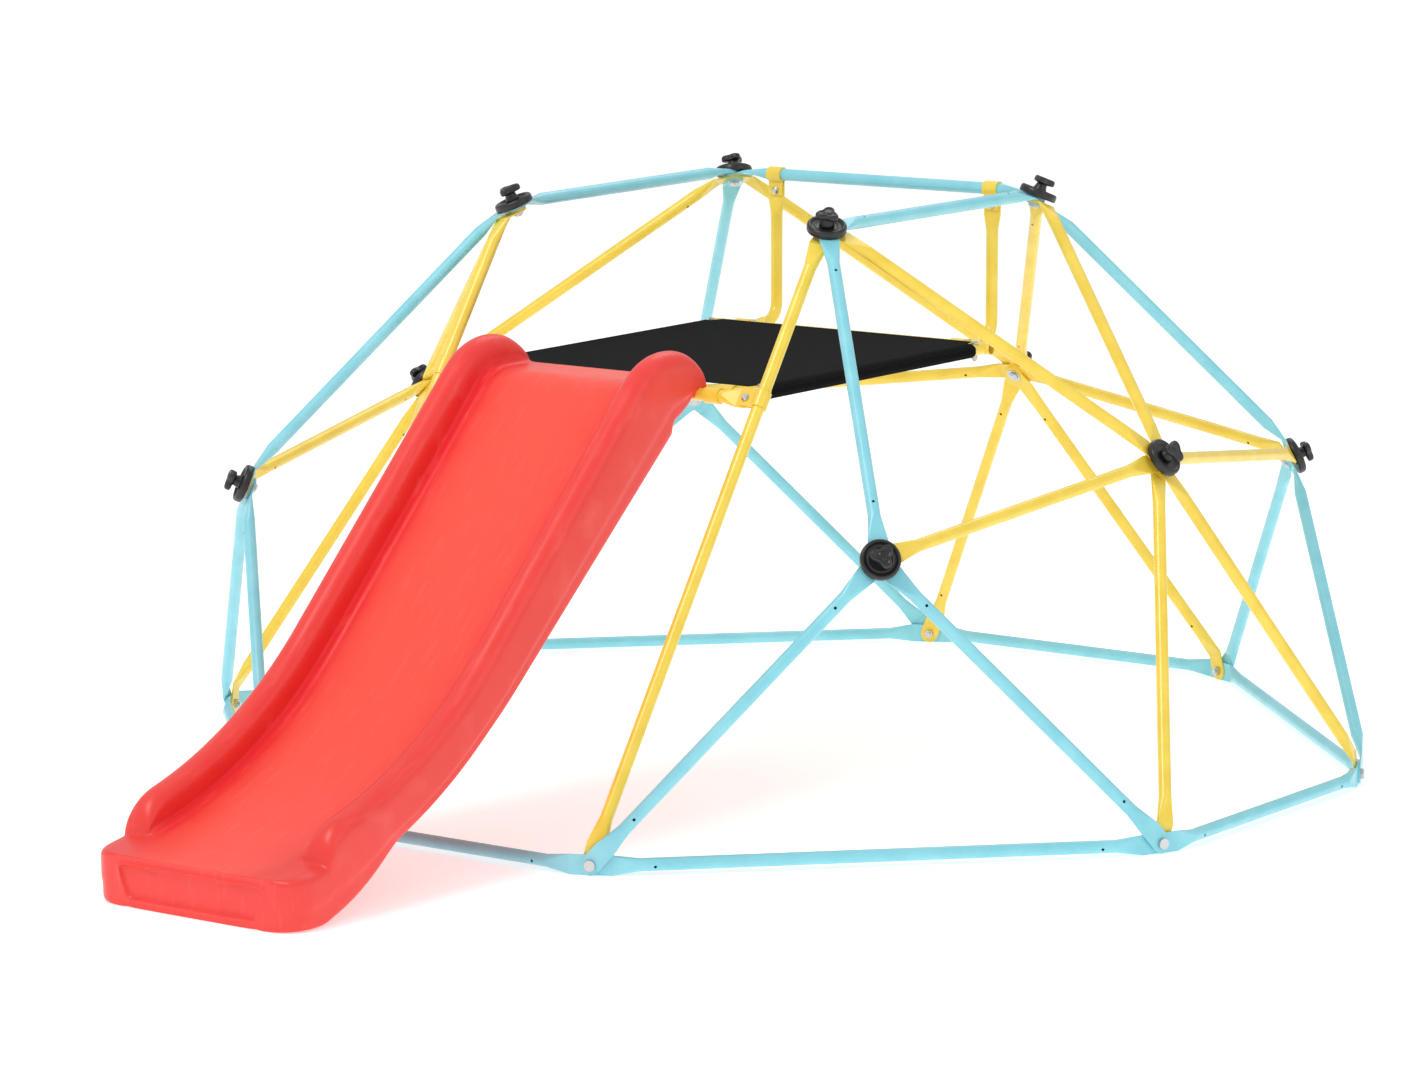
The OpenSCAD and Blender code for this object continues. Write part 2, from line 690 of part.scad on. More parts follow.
// ---- Keepers: clips under the entrance bar that hold the slide's lip on it ----
keeper_x = 110;
keeper_w = 30;
keeper_t = 4;
keeper_z = jaw_z - play - keeper_t;
keeper_screws = [-(jaw + seat_r) / 2, (lip_back + seat_r) / 2];
screw_d = 3;
screw_len = 12;
module at_keepers() {
    for (x = [-keeper_x, keeper_x])
        translate([x, entrance_axis.y, entrance_axis.z]) children();
}
module keeper_screw() {
    color(zinc) {
        translate([0, 0, -screw_len + play]) cylinder(d = screw_d, h = screw_len);
        translate([0, 0, play]) button_head(screw_d * 0.8, 2);
    }
}
module slide_keepers() {
    color(black) at_keepers() difference() {
        place([-keeper_w / 2, 0, 0], [1, 0, 0], [0, 1, 0]) linear_extrude(keeper_w) difference() {
            union() {
                circle(r = seat_r + keeper_t);
                translate([-jaw, keeper_z]) square([jaw + lip_back, keeper_t]);
            }
            circle(r = seat_r);
            translate([-2 * tube_d, jaw_z - play]) square(4 * tube_d);
        }
        for (y = keeper_screws)
            translate([0, y, keeper_z - 1]) cylinder(d = screw_d + 2 * slack, h = keeper_t + 2);
    }
}

// ---- Pieces -------------------------------------------------------------
for (s = [0 : 3]) {
    seat() blue_bar(base_side_bar(s));
}
for (q = [0 : 3]) {
    seat() blue_bar(base_corner_bar(q));
    seat() blue_bar(rafter(q));
    seat() {
        blue_bar(leg(q, 0));
        blue_bar(leg(q, 1));
    }
}
seat() blue_bar(top_bar(3));  // top_bar_right
seat() blue_bar(top_bar(0));  // top_bar_rear
seat() blue_bar(top_bar(1));  // top_bar_left
for (s = [0 : 2]) {
    seat() yellow_pair(upper_brace(s, 0), upper_brace(s, 1));
    seat() yellow_pair(cross_brace(s, 0), cross_brace(s, 1));
    seat() yellow_pair(lower_brace(s, 0), lower_brace(s, 1));
    seat() at_joint(side_joint(s)) knob();
}
seat() yellow_bar(entry_post(2));  // entry_post_left
seat() yellow_bar(entry_post(3));  // entry_post_right
for (q = [0 : 3]) {
    seat() at_joint(top_joint(q)) knob();
    seat() at_joint(corner_joint(q)) knob();
}
seat() for (j = knob_joints) at_joint(j) joint_disc();  // joint_discs
seat() for (j = knob_joints) at_joint(j) joint_bolt(j);  // joint_bolts
seat() for (j = knob_joints) at_joint(j) joint_washer(j);  // joint_washers
seat() for (j = base_joints) at_joint(j) base_bolt(j);  // base_bolts
seat() for (j = base_joints) at_joint(j)  // base_nuts
    translate([0, 0, stack_foot(j) - nut_h]) nut(nut_r, nut_h, bolt_d + 2 * run);
seat() entrance_bar();
seat() for (q = [2, 3]) at_post(q) band_clamp();  // entrance_clamps
seat() for (x = [-1, 1]) deck_saddle(x * saddle_x);  // deck_saddles
seat() {  // deck_cross_tubes
    cross_tube(front_y, 1);
    cross_tube(rear_y, -1);
}
seat() deck_side_tube(-deck_side_x);  // deck_side_tube_left
seat() deck_side_tube(deck_side_x);  // deck_side_tube_right
seat() deck_cloth();
seat() hanger(-hanger_x);  // hanger_left
seat() hanger(hanger_x);  // hanger_right
seat() for (x = [-hanger_x, hanger_x]) {  // hanger_clamps
    place(at_x(bar_line(top_bar(0)), x), [1, 0, 0], [0, 0, -1]) band_clamp();
    place([x, rear_y, deck_z], [1, 0, 0], [0, 1, 0]) band_clamp();
}
seat() clamp_bolts();
seat() clamp_nuts();
seat() slide();
seat() slide_keepers();
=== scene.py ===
# %% [markdown]
# # Dome climber with a cloth deck and a slide
# A toddler's climbing dome: thin steel tubes with flattened ends, bolted together at eleven
# black hubs, with a cloth deck inside the open front and a moulded slide that hooks over a bar.
# The frame is already exact, so it is loaded as it is and only gets its finishes here.
# What a machined model can't show is made in this file: the slide, the cloth, the knobs and the hubs.

# %% Load the frame
import json
import math
import bmesh
import bpy
from mathutils import Matrix, Vector, noise


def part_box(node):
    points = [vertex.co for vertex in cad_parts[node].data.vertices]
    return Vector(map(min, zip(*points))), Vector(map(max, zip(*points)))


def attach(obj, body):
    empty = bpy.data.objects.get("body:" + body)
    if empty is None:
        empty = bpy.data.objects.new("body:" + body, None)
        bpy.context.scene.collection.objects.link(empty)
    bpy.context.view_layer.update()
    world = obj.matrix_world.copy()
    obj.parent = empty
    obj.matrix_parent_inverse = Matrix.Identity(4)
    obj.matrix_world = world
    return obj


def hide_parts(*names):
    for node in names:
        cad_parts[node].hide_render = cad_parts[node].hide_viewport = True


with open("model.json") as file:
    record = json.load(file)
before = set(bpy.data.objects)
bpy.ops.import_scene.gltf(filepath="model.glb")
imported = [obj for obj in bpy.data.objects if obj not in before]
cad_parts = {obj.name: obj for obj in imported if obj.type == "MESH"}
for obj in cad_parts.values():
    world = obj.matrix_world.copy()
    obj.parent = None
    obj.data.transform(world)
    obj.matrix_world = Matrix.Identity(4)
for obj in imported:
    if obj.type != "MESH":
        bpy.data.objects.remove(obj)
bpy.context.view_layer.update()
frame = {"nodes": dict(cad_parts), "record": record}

# %% [markdown]
# ## Places
# Every place comes from the frame's own boxes, so nothing has to be fitted by eye.
# The dome's middle lies halfway between the front and rear base bars. The entrance bar, which
# the slide hooks over, lies at the level of the two straps that tie the deck to it.

# %% Reference places
MM = 0.001

ring_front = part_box("base_bar_front")[0]
ring_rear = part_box("base_bar_rear")[1]
dome_y = (ring_front[1] + ring_rear[1]) / 2
joint_z = ring_rear[2] / 2
saddle_low, saddle_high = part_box("deck_saddles")
slide_low, slide_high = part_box("slide")
bar_z = (saddle_low[2] + saddle_high[2]) / 2
LIP_BACK = 15 * MM
bar_y = slide_high[1] - LIP_BACK
print(f"dome at y {dome_y:.4f}, base joints at z {joint_z:.4f}, bar at y {bar_y:.4f}, z {bar_z:.4f}")

# %% [markdown]
# ## Camera
# The camera stands to the front and right, a little above the hubs, and far away with a long
# lens, so that the tubes stay nearly parallel. Its place is written as steps to its own right, up
# and back from the middle of the dome, because a tripod is moved in those directions.

# %% Camera
AIM_HEIGHT = 470 * MM
STEP_RIGHT = -53 * MM
STEP_UP = -148 * MM
DISTANCE = 8.575
FOCAL_LENGTH = 138.35
SENSOR_WIDTH = 36

azimuth, elevation = math.radians(35.325), math.radians(9.697)
middle = Vector((0, dome_y, joint_z + AIM_HEIGHT))
back = Vector((
    math.sin(azimuth) * math.cos(elevation),
    -math.cos(azimuth) * math.cos(elevation),
    math.sin(elevation),
))
right = Vector((math.cos(azimuth), math.sin(azimuth), 0))
up = back.cross(right)

camera = bpy.data.objects.new("camera", bpy.data.cameras.new("camera"))
bpy.context.scene.collection.objects.link(camera)
camera.location = middle + STEP_RIGHT * right + STEP_UP * up + DISTANCE * back
camera.rotation_euler = Matrix((right, up, back)).transposed().to_euler()
camera.data.lens = FOCAL_LENGTH
camera.data.sensor_width = SENSOR_WIDTH
camera.data.shift_x = -0.024
camera.data.shift_y = 0.0038
bpy.context.scene.camera = camera
print("camera at", [round(v, 3) for v in camera.location])

# %% [markdown]
# ## Node helpers
# Colours are written as hex values, as a paint chart gives them, and one function turns them
# into the linear values that the shaders use. One more function adds any node with its settings
# and its links, and every finish below is built with it.

# %% Colour and node helpers
def linear(hex_value):
    """The linear RGBA colour of an sRGB hex value such as '#8cd9e6'."""
    parts = [int(hex_value[i:i + 2], 16) / 255 for i in (1, 3, 5)]
    return [c / 12.92 if c <= 0.04045 else ((c + 0.055) / 1.055) ** 2.4 for c in parts] + [1]


def add(tree, kind, inputs=None, **settings):
    """Adds a node. inputs maps a socket's name or number to a value or to the socket linked to it."""
    node = tree.nodes.new(kind)
    for name, value in settings.items():
        setattr(node, name, value)
    for name, value in (inputs or {}).items():
        if isinstance(value, bpy.types.NodeSocket):
            tree.links.new(value, node.inputs[name])
        else:
            node.inputs[name].default_value = value
    return node


def new_finish(name, **sockets):
    """A material with one principled shader, whose constant values are set by name."""
    material = bpy.data.materials.new(name)
    material.use_nodes = True
    tree = material.node_tree
    tree.nodes.clear()
    values = {socket.replace("_", " "): value for socket, value in sockets.items()}
    shader = add(tree, "ShaderNodeBsdfPrincipled", values)
    add(tree, "ShaderNodeOutputMaterial", {"Surface": shader.outputs[0]})
    place = add(tree, "ShaderNodeTexCoord").outputs["Object"]
    return material, tree, shader, place


def per_metre(size_mm):
    """The texture scale that makes one cell of a pattern size_mm wide."""
    return 1000 / size_mm


def blend_colours(tree, factor, low, high):
    """The colour between low and high, each a hex value or a socket."""
    values = [linear(c) if isinstance(c, str) else c for c in (low, high)]
    mix = add(tree, "ShaderNodeMix", {0: factor, 6: values[0], 7: values[1]}, data_type="RGBA")
    return mix.outputs[2]


def rough_from(tree, shader, value, low, high):
    """Links the roughness to a pattern that runs from 0 to 1."""
    spread = add(tree, "ShaderNodeMapRange", {"Value": value, "To Min": low, "To Max": high})
    tree.links.new(spread.outputs[0], shader.inputs["Roughness"])


def bump_from(tree, shader, height, strength, depth_mm):
    """Links the normal to a bump of a pattern, depth_mm high."""
    values = {"Height": height, "Strength": strength, "Distance": depth_mm * MM}
    bump = add(tree, "ShaderNodeBump", values)
    tree.links.new(bump.outputs[0], shader.inputs["Normal"])


print("linear white:", linear("#ffffff")[:3])

# %% [markdown]
# ## Powder coat
# The tubes are thin steel, sprayed with dry paint powder that is then baked until it flows.
# That gives a glossy film with a faint orange-peel ripple, about a millimetre from crest to crest.
# The film gathers a little unevenly, so the colour drifts softly along the tube. A thin clear
# coat over a slightly rough base gives the two highlights such paint has: one sharp, one broad.

# %% Powder coated steel
def powder_coat(name, light, shade):
    material, tree, shader, place = new_finish(
        name, Roughness=0.36, IOR=1.5, Coat_Weight=0.35, Coat_Roughness=0.12
    )
    drift = add(tree, "ShaderNodeTexNoise", {"Vector": place, "Scale": per_metre(45), "Detail": 3})
    peel = add(tree, "ShaderNodeTexNoise", {"Vector": place, "Scale": per_metre(1.6), "Detail": 1})
    tone = add(
        tree, "ShaderNodeMapRange", {"Value": drift.outputs[0], "From Min": 0.35, "From Max": 0.7}
    )
    colour = blend_colours(tree, tone.outputs[0], light, shade)
    tree.links.new(colour, shader.inputs["Base Color"])
    rough_from(tree, shader, drift.outputs[0], 0.28, 0.42)
    bump_from(tree, shader, peel.outputs[0], 0.25, 0.12)
    return material


blue_coat = powder_coat("powder_coat_pale_blue", "#90dbe8", "#82d2e0")
yellow_coat = powder_coat("powder_coat_yellow", "#fbdc50", "#f3cf3f")
print("made", blue_coat.name, "and", yellow_coat.name)

# %% [markdown]
# ## Black moulded nylon and zinc plate
# The hubs and knobs are glass-filled nylon. The mould is spark-eroded, which leaves a fine
# sand-like grain that breaks up the gloss. The bolts are steel with bright zinc plate, a metal
# finish with soft, cloudy patches and fine brushing from the tumbling drum.

# %% Moulded nylon
def moulded_nylon():
    material, tree, shader, place = new_finish("moulded_black_nylon", Roughness=0.4, IOR=1.53)
    grain = add(tree, "ShaderNodeTexNoise", {"Vector": place, "Scale": per_metre(0.9), "Detail": 2})
    flow = add(tree, "ShaderNodeTexNoise", {"Vector": place, "Scale": per_metre(14), "Detail": 3})
    colour = blend_colours(tree, flow.outputs[0], "#161617", "#242427")
    tree.links.new(colour, shader.inputs["Base Color"])
    rough_from(tree, shader, flow.outputs[0], 0.26, 0.46)
    bump_from(tree, shader, grain.outputs[0], 0.3, 0.1)
    return material


def zinc_plate():
    material, tree, shader, place = new_finish("zinc_plated_steel", Metallic=1.0, Roughness=0.3)
    cloud = add(tree, "ShaderNodeTexNoise", {"Vector": place, "Scale": per_metre(3), "Detail": 4})
    scratch = add(tree, "ShaderNodeTexNoise", {"Vector": place, "Scale": per_metre(0.7), "Detail": 2})
    colour = blend_colours(tree, cloud.outputs[0], "#b9bcc0", "#dcdcd6")
    tree.links.new(colour, shader.inputs["Base Color"])
    rough_from(tree, shader, cloud.outputs[0], 0.2, 0.42)
    bump_from(tree, shader, scratch.outputs[0], 0.15, 0.05)
    return material


nylon = moulded_nylon()
zinc = zinc_plate()
print("made", nylon.name, "and", zinc.name)

# %% [markdown]
# ## Deck cloth
# The deck is a close polyester mesh of coated yarn, black and almost without gloss. Its threads
# are about 1 mm apart, too fine to show at this distance, so the weave is drawn at 2.4 mm. Two
# crossed sets of waves give the over and under of a plain weave.

# %% Woven mesh
def woven_mesh():
    material, tree, shader, place = new_finish(
        "woven_polyester_mesh", Roughness=0.8, IOR=1.3, Specular_IOR_Level=0.04, Sheen_Weight=0.01
    )
    waves_per_cell = 3
    thread = per_metre(2.4) / waves_per_cell
    warp = add(tree, "ShaderNodeTexWave", {"Vector": place, "Scale": thread}, bands_direction="X")
    weft = add(tree, "ShaderNodeTexWave", {"Vector": place, "Scale": thread}, bands_direction="Y")
    weave = add(
        tree, "ShaderNodeMath", {0: warp.outputs["Fac"], 1: weft.outputs["Fac"]}, operation="MULTIPLY"
    )
    lint = add(tree, "ShaderNodeTexNoise", {"Vector": place, "Scale": per_metre(60), "Detail": 4})
    woven = blend_colours(tree, weave.outputs[0], "#0d0d0e", "#2b2b2d")
    colour = add(
        tree, "ShaderNodeMix", {0: lint.outputs[0], 6: woven, 7: linear("#19191b")}, data_type="RGBA"
    )
    tree.links.new(colour.outputs[2], shader.inputs["Base Color"])
    rough_from(tree, shader, weave.outputs[0], 0.7, 0.9)
    bump_from(tree, shader, weave.outputs[0], 0.6, 0.5)
    return material


mesh_cloth = woven_mesh()
print("made", mesh_cloth.name)

# %% [markdown]
# ## Slide plastic
# The slide is blow-moulded high-density polyethylene, coral red. It comes out of the mould
# satin, with a soft mottle. Painted light makes the bed lighter towards its middle, and
# painted shade makes the plastic a deeper red where the wall turns up from the bed: the mesh
# carries both as values at each point, and the finish reads them here.

# %% Slide plastic finish
def slide_polyethylene():
    material, tree, shader, place = new_finish(
        "coral_polyethylene", Roughness=0.35, IOR=1.5, Specular_IOR_Level=0.3,
        Coat_Weight=0.05, Coat_Roughness=0.2,
    )
    # Painted shade: a value at each point of the mesh makes the fillet and the foot of the inner wall
    # a deeper red.
    depth = add(tree, "ShaderNodeAttribute", attribute_name="painted_fold_shade")
    # Painted light: a value at each point of the mesh makes the bed lighter towards its middle.
    painted_light = add(tree, "ShaderNodeAttribute", attribute_name="painted_bed_light")
    mottle = add(tree, "ShaderNodeTexNoise", {"Vector": place, "Scale": per_metre(55), "Detail": 6})
    along = add(tree, "ShaderNodeMapping", {"Vector": place, "Scale": (1, 0.12, 0.12)})
    scuff = add(
        tree, "ShaderNodeTexNoise", {"Vector": along.outputs[0], "Scale": per_metre(7), "Detail": 5}
    )
    body = blend_colours(tree, mottle.outputs[0], "#ec3e3b", "#f34c43")
    # Painted light: the bed is mixed towards a lighter red in its middle.
    bed_with_painted_light = blend_colours(tree, painted_light.outputs["Fac"], body, linear("#ff5343"))
    # Painted shade: a deeper red in the fillet and up the inner wall.
    painted_shade_colour = blend_colours(tree, depth.outputs["Fac"], bed_with_painted_light, linear("#ee151c"))
    streak = add(
        tree, "ShaderNodeMapRange",
        {"Value": scuff.outputs[0], "From Min": 0.56, "From Max": 0.8, "To Max": 0.22}
    )
    worn = blend_colours(tree, streak.outputs[0], painted_shade_colour, linear("#ff837b"))
    tree.links.new(worn, shader.inputs["Base Color"])
    rough_from(tree, shader, mottle.outputs[0], 0.24, 0.46)
    ripple = add(tree, "ShaderNodeTexNoise", {"Vector": place, "Scale": per_metre(9), "Detail": 2})
    bump_from(tree, shader, ripple.outputs[0], 0.25, 0.4)
    return material


polyethylene = slide_polyethylene()
print("made", polyethylene.name)

# %% [markdown]
# ## Finishes on the frame
# Each machined piece names its finish in the record, so one loop puts the right material on all
# of them: no piece is left in a plain colour.

# %% Put the finishes on the frame
FINISHES = {
    "blue_steel": blue_coat,
    "yellow_steel": yellow_coat,
    "black_plastic": nylon,
    "zinc_steel": zinc,
    "deck_mesh": mesh_cloth,
    "slide_plastic": polyethylene,
}
slot_of = {part["node"]: part["material_slot"] for part in frame["record"]["subparts"]}
for node_name, piece in frame["nodes"].items():
    for slot in piece.material_slots:
        slot.material = FINISHES[slot_of[node_name]]
print("finished", len(slot_of), "frame pieces")

# %% [markdown]
# ## From points to a piece
# The pieces made here all start as a grid of points: rows along the piece and points across it.
# One function joins such a grid with faces, shades it smooth and gives it its finish.

# %% Grid helper
def new_piece(name, points, faces, finish, body="frame"):
    mesh = bpy.data.meshes.new(name)
    mesh.from_pydata([tuple(p) for p in points], [], faces)
    mesh.validate()
    work = bmesh.new()
    work.from_mesh(mesh)
    bmesh.ops.recalc_face_normals(work, faces=work.faces)
    work.to_mesh(mesh)
    work.free()
    mesh.shade_smooth()
    mesh.materials.append(finish)
    piece = bpy.data.objects.new(name, mesh)
    bpy.context.scene.collection.objects.link(piece)
    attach(piece, body)
    return piece


def grid_faces(rows, columns, closed, first=0):
    """Faces between neighbouring rows; closed joins the last column to the first."""
    faces = []
    for r in range(rows - 1):
        for c in range(columns if closed else columns - 1):
            d = (c + 1) % columns
            a = first + r * columns
            faces.append((a + c, a + d, a + columns + d, a + columns + c))
    return faces


print("a 3 by 4 ring grid has", len(grid_faces(3, 4, True)), "faces")

# %% [markdown]
# ## The slide's line
# Seen from the side, the bed starts level over the entrance bar, rolls over a small brow into a
# straight slope, and runs out in one long arc to a foot that is almost level. Distances run
# along Y from the bar, and the bed's height and slope follow from its distance.

# %% Bed line
LIP_TOP = 21 * MM
JAW = 18 * MM
JAW_Z = -6 * MM
LANDING = 58 * MM
BROW_R = 80 * MM
SLOPE = math.radians(44)
RUNOUT_R = 780 * MM
FOOT_SLOPE = math.radians(8)
FOOT_LEN = 40 * MM
FOOT_H = 73 * MM
tip_y = slide_low[1] - bar_y
ground_z = -bar_z

brow_y, brow_z = -LANDING, LIP_TOP - BROW_R
brow_end = (brow_y - BROW_R * math.sin(SLOPE), brow_z + BROW_R * math.cos(SLOPE))
tip_z = ground_z + FOOT_H
arc_end = (tip_y + FOOT_LEN * math.cos(FOOT_SLOPE), tip_z + FOOT_LEN * math.sin(FOOT_SLOPE))
runout_y = arc_end[0] - RUNOUT_R * math.sin(FOOT_SLOPE)
runout_z = arc_end[1] + RUNOUT_R * math.cos(FOOT_SLOPE)
arc_start = (runout_y + RUNOUT_R * math.sin(SLOPE), runout_z - RUNOUT_R * math.cos(SLOPE))


def bed_at(y):
    """The bed's height over the bar and its slope, at distance y from the bar."""
    if y > brow_y:
        return LIP_TOP, 0.0
    if y > brow_end[0]:
        angle = math.asin((brow_y - y) / BROW_R)
        return brow_z + BROW_R * math.cos(angle), angle
    if y > arc_start[0]:
        return brow_end[1] + (y - brow_end[0]) * math.tan(SLOPE), SLOPE
    if y > arc_end[0]:
        angle = math.asin((y - runout_y) / RUNOUT_R)
        return runout_z - RUNOUT_R * math.cos(angle), angle
    return tip_z + (y - tip_y) * math.tan(FOOT_SLOPE), FOOT_SLOPE


slope_foot = bed_at(arc_start[0] + 0.01 * MM)[0]
print("bed meets itself at the arc:", round(slope_foot, 4), round(arc_start[1], 4))

# %% [markdown]
# ## The slide's section
# Cut across, the slide is a shallow tray: a flat bed, a round fillet up into each wall, a wall
# with a fat round rim, and an outer side that turns back a little halfway down. The rim rises
# in a quarter circle at the top, which makes the two domed shoulders, and dies away in another
# just before the foot. The same section is used all the way, with its height scaled by the rim.

# %% Wall height and underside
WALL_OVER = 48 * MM
SLIDE_HALF = (slide_high[0] - slide_low[0]) / 2
WALL = 47 * MM
BED_HALF = SLIDE_HALF - WALL
DOME_LEN = 70 * MM
NOSE = 75 * MM
NOSE_LEN = 60 * MM
UNDER_TOP = 84 * MM
UNDER_FOOT = 36 * MM
FOOT_FLAT = 60 * MM
FOOT_RISE = 150 * MM
HAUNCH = 95 * MM
BED_SKIN = 6 * MM
PLATE = 11 * MM
CORNER_R = 42 * MM
HAUNCH_POWER = 0.7


def clamp(value):
    return max(0.0, min(1.0, value))


def round_up(t):
    return math.sqrt(1 - (1 - clamp(t)) ** 2)


def rim_at(y):
    """Share of its full height that the wall has at distance y."""
    return round_up((LIP_BACK - y) / DOME_LEN) * round_up((y - tip_y - NOSE) / NOSE_LEN)


def under_at(y):
    """The lowest point of the wall at distance y, as (y, z)."""
    z, angle = bed_at(y)
    if y > -JAW:
        return y, JAW_Z
    share = clamp(-y / (LANDING - arc_start[0]))
    grown = clamp((-JAW - y) / HAUNCH)
    top = LIP_TOP - JAW_Z + (UNDER_TOP - LIP_TOP + JAW_Z) * grown ** HAUNCH_POWER
    depth = top + (UNDER_FOOT - UNDER_TOP) * share * grown
    lifted = clamp((y - tip_y - FOOT_FLAT) / FOOT_RISE)
    low_z = max(ground_z, ground_z + (z - depth * math.cos(angle) - ground_z) * lifted)
    square = clamp((y - tip_y) / FOOT_FLAT)
    return y + depth * math.sin(angle) * square, low_z


print("wall depth at the bar:", under_at(-20 * MM), "and at the foot:", under_at(tip_y))

# %% Section across the slide
RIM = WALL / 2
FILLET = 16 * MM
ROUND_OVER = 10 * MM
# The crease's strength is the painted shade at the start of the rim's inner round.
CREASE_PAINTED_SHADE = 0.35
BED_SHARES = (0, 0.3, 0.6, 0.82, 0.94)
SIDE_INSETS = ((0.3, 0), (0.5, 0), (0.56, 2.5), (0.75, 2.5), (0.93, 3), (1, 7))


def half_section(y):
    """Points (x, place, painted shade, painted bed light) from mid bed, over the rim and back
    underneath.
    """
    z, angle = bed_at(y)
    rim = rim_at(y)
    up_y, up_z = -math.sin(angle), math.cos(angle)
    low_y, low_z = under_at(y)

    def over(height):
        return y + up_y * height, z + up_z * height

    def beside(share):
        return y + (low_y - y) * share, z + (low_z - z) * share

    points = []
    # Across the bed the painted light is strongest at mid bed and fades out towards the fillet.
    for share in BED_SHARES:
        points.append((share * (BED_HALF - FILLET), over(0), 0, 1 - share ** 4))
    # In the fillet the painted shade is strongest halfway round.
    for i in range(6):
        a = math.pi / 2 * i / 5
        points.append((
            BED_HALF - FILLET + FILLET * math.sin(a),
            over(FILLET * rim * (1 - math.cos(a))), rim * math.sin(math.pi * (i + 1) / 7), 0,
        ))
    # Over the inner round of the rim the painted shade fades out towards the top.
    for i in range(6):
        a = math.pi / 2 * i / 5
        points.append((
            BED_HALF + RIM - RIM * math.cos(a),
            over((WALL_OVER - RIM + RIM * math.sin(a)) * rim), CREASE_PAINTED_SHADE * rim * (1 - i / 5), 0,
        ))
    fall = ROUND_OVER + (RIM - ROUND_OVER) * rim
    depth = max(math.dist((y, z), (low_y, low_z)), MM)
    for i in range(1, 7):
        a = math.pi / 2 * i / 6
        height = WALL_OVER * rim - fall * (1 - math.cos(a))
        place = over(height) if height > 0 else beside(-height / depth)
        points.append((SLIDE_HALF - RIM + RIM * math.sin(a), place, 0, 0))
    start = max(0.0, (fall - WALL_OVER * rim) / depth)
    for share, inset in SIDE_INSETS:
        points.append((SLIDE_HALF - inset * MM, beside(start + (1 - start) * share), 0, 0))
    points.append((BED_HALF + 10 * MM, beside(1), 0, 0))
    points.append((BED_HALF + 4 * MM, beside(0.97), 0, 0))
    if y > -JAW:
        floor = (y, JAW_Z)
    elif y < tip_y + PLATE:
        floor = (y, ground_z)
    else:
        floor = over(-BED_SKIN)
    points.append((BED_HALF + 3 * MM, floor, 0, 0))
    points.append((0.5 * BED_HALF, floor, 0, 0))
    points.append((0, floor, 0, 0))
    cut = CORNER_R * clamp(1 - (y - tip_y) / CORNER_R)
    shrink = 1 - (CORNER_R - math.sqrt(CORNER_R ** 2 - cut ** 2)) / SLIDE_HALF
    return [(x * shrink, place, painted_shade, painted_light) for x, place, painted_shade, painted_light in points]


print("points across half the slide:", len(half_section(-0.3)))

# %% Stations along the slide
def stations():
    """Distances from the bar, from the back of the lip to the tip, closer where the shape turns."""
    ys = [LIP_BACK - DOME_LEN * (1 - math.cos(math.pi / 20 * i)) for i in range(10)]
    ys += [-JAW + 0.5 * MM, -JAW - 0.5 * MM]
    ys += [brow_y - BROW_R * math.sin(SLOPE * i / 8) for i in range(9)]
    ys += [brow_end[0] + (arc_start[0] - brow_end[0]) * i / 14 for i in range(1, 15)]
    nose_top = tip_y + NOSE + NOSE_LEN
    ys += [arc_start[0] + (nose_top - arc_start[0]) * i / 20 for i in range(1, 20)]
    ys += [tip_y + NOSE + NOSE_LEN * (1 - math.cos(math.pi / 18 * i)) for i in range(10)]
    ys += [tip_y + CORNER_R + (NOSE - CORNER_R) * i / 3 for i in range(3)]
    ys += [tip_y + CORNER_R * (1 - math.sin(math.pi / 18 * i)) for i in range(1, 10)]
    ys += [tip_y + PLATE + MM, tip_y + PLATE - MM]
    return sorted(set(round(y, 6) for y in ys), reverse=True)


print("stations:", len(stations()))

# %% Build the slide
def build_slide():
    points, painted_shade, painted_light = [], [], []
    rows = stations()
    for y in rows:
        half = half_section(y)
        loop = half + [(-x, *rest) for x, *rest in reversed(half[1:-1])]
        points += [(x, bar_y + place[0], bar_z + place[1]) for x, place, _, _ in loop]
        painted_shade += [f for _, _, f, _ in loop]
        painted_light += [p for _, _, _, p in loop]
    across = len(loop)
    faces = grid_faces(len(rows), across, True)
    last = across * (len(rows) - 1)
    faces.append(tuple(range(across)))
    faces.append(tuple(last + i for i in reversed(range(across))))
    slide = new_piece("slide_moulding", points, faces, polyethylene)
    # The painted shade and the painted bed light go onto the mesh as values at each point.
    for name, values in (("painted_fold_shade", painted_shade), ("painted_bed_light", painted_light)):
        layer = slide.data.attributes.new(name, "FLOAT", "POINT")
        layer.data.foreach_set("value", values)
    return slide


slide = build_slide()
print("slide:", len(slide.data.vertices), "points")

# %% [markdown]
# ## The foot's front panel
# The foot's front face has a shallow panel pressed into it, narrower at its lower edge, with a
# raised line round it. Rings of points make it, each a smaller copy of the face's outline: the
# first leave a border, the next stand proud as the line, and the last lie back in the panel.

# %% Press the panel into the foot, and round the ends
PANEL_TAPER = 0.06
PANEL_RINGS = [
    (0.97, 0.9, 0), (0.93, 0.76, 0), (0.924, 0.72, 2), (0.91, 0.66, 2),
    (0.9, 0.6, -4), (0.88, 0.52, -4),
]


